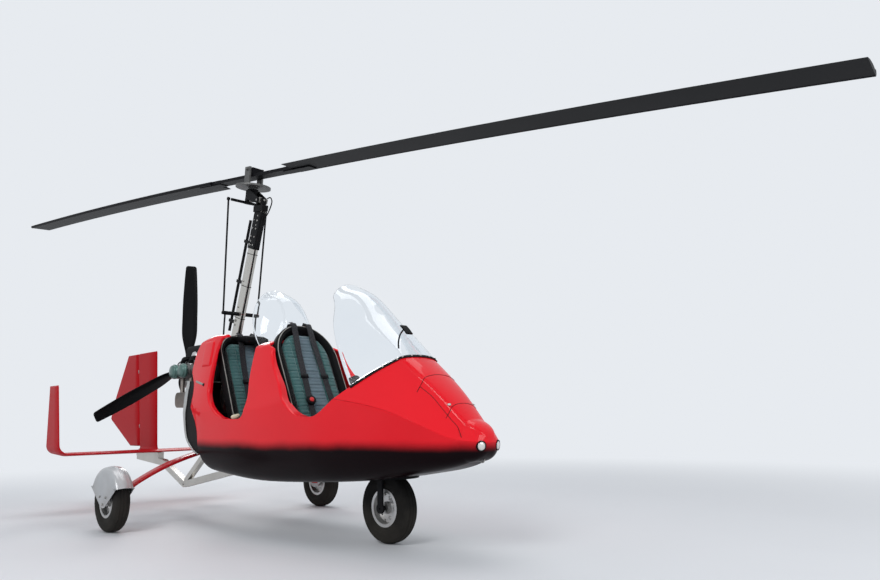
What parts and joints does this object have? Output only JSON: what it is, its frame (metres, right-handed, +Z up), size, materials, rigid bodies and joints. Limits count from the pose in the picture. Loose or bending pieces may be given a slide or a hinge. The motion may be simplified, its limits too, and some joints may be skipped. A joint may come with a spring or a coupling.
{
  "type": "open tandem two-seat gyrocopter",
  "caption": "Open tandem gyrocopter: red pod with seats in line, drooping rotor on a leaning mast, pusher propeller, finned tail and tricycle undercarriage.",
  "frame": {"origin": "on the ground, straight below the middle of the rotor", "axes": "+X to the nose, +Y to the left side, +Z up"},
  "size_m": [8.3486, 1.88, 3.0089],
  "materials": {
    "red_shell": "gloss",
    "silver_shell": "satin",
    "black_plastic": "matte",
    "black_metal": "satin",
    "stainless": "brushed",
    "alloy": "satin",
    "red_metal": "gloss",
    "blade_black": "satin",
    "carbon_black": "satin",
    "tyre_rubber": "matte",
    "clear_screen": "clear",
    "lamp_glass": "clear",
    "seat_fabric": "quilted",
    "seat_black": "matte",
    "engine_alloy": "cast",
    "cover_green": "satin"
  },
  "bodies": {
    "airframe": {"hull_tub": "red_shell", "nose_hood": "red_shell", "hood_hatch": "red_shell", "cockpit_divider": "red_shell", "rear_cowl": "red_shell", "gear_bow": "red_metal", "stub_axle_left": "stainless", "stub_axle_right": "stainless", "keel_frame": "stainless", "control_bar": "black_metal", "mast": "stainless", "engine_block": "engine_alloy", "engine_cylinders": "engine_alloy", "valve_covers": "cover_green", "gearbox": "engine_alloy", "engine_mount": "black_metal", "intake_box": "black_plastic", "exhaust": "stainless", "tailplane": "red_shell", "fin": "red_shell", "front_seat_shell": "seat_black", "rear_seat_shell": "seat_black", "front_back_cushion": "seat_fabric", "front_base_cushion": "seat_fabric", "rear_back_cushion": "seat_fabric", "rear_base_cushion": "seat_fabric", "front_screen": "clear_screen", "rear_screen": "clear_screen", "instrument_panel": "red_shell", "mast_fork": "black_metal", "push_rods": "black_metal", "spin_up_drive": "black_metal", "fender_left": "silver_shell", "fender_right": "silver_shell", "nose_lamps": "lamp_glass", "rear_liner": "black_plastic"},
    "nose_gear": {"nose_fork": "black_metal"},
    "nose_wheel": {"nose_rim": "alloy", "nose_tyre": "tyre_rubber"},
    "wheel_left": {"wheel_rim_left": "alloy", "tyre_left": "tyre_rubber"},
    "wheel_right": {"wheel_rim_right": "alloy", "tyre_right": "tyre_rubber"},
    "propeller": {"prop_hub": "alloy", "prop_blades": "carbon_black"},
    "rudder_body": {"rudder": "red_shell"},
    "gimbal": {"head_gimbal": "alloy"},
    "bridge": {"head_bridge": "black_metal"},
    "rotor_shaft": {"rotor_tower": "alloy"},
    "rotor": {"hub_bar": "blade_black", "rotor_blades": "blade_black"}
  },
  "joints": [
    {"name": "nose_steer", "type": "hinge", "parent": "airframe", "child": "nose_gear", "pos_m": [1.557, 0, 0.5], "axis": [0, 0, 1], "range_deg": [-25, 25]},
    {"name": "nose_wheel_spin", "type": "hinge", "parent": "nose_gear", "child": "nose_wheel", "pos_m": [1.557, 0, 0.205], "axis": [0, 1, 0], "continuous": true},
    {"name": "wheel_left_spin", "type": "hinge", "parent": "airframe", "child": "wheel_left", "pos_m": [-0.281, 0.87, 0.205], "axis": [0, 1, 0], "continuous": true},
    {"name": "wheel_right_spin", "type": "hinge", "parent": "airframe", "child": "wheel_right", "pos_m": [-0.281, -0.87, 0.205], "axis": [0, 1, 0], "continuous": true},
    {"name": "propeller_spin", "type": "hinge", "parent": "airframe", "child": "propeller", "pos_m": [-0.98, 0, 1.202], "axis": [1, 0, 0], "continuous": true},
    {"name": "rudder_swing", "type": "hinge", "parent": "airframe", "child": "rudder_body", "pos_m": [-1.862, 0, 0.515], "axis": [-0.1222, 0, 0.9925], "range_deg": [-30, 30]},
    {"name": "head_roll", "type": "hinge", "parent": "airframe", "child": "gimbal", "pos_m": [0.11784, 0, 2.40191], "axis": [0.9942, 0, -0.108], "range_deg": [-8, 8]},
    {"name": "head_pitch", "type": "hinge", "parent": "gimbal", "child": "bridge", "pos_m": [0.11784, 0, 2.40191], "axis": [0, 1, 0], "range_deg": [-18, 0]},
    {"name": "rotor_spin", "type": "hinge", "parent": "bridge", "child": "rotor_shaft", "pos_m": [0.00821, 0, 2.615], "axis": [0.108, 0, 0.9942], "continuous": true},
    {"name": "rotor_teeter", "type": "hinge", "parent": "rotor_shaft", "child": "rotor", "pos_m": [0.01361, 0, 2.66471], "axis": [-0.0742, 0.9972, 0.0081], "range_deg": [-8, 8]}
  ],
  "couplings": [
    {"joint": "rudder_swing", "follows": "nose_steer", "ratio": -1.2}
  ]
}
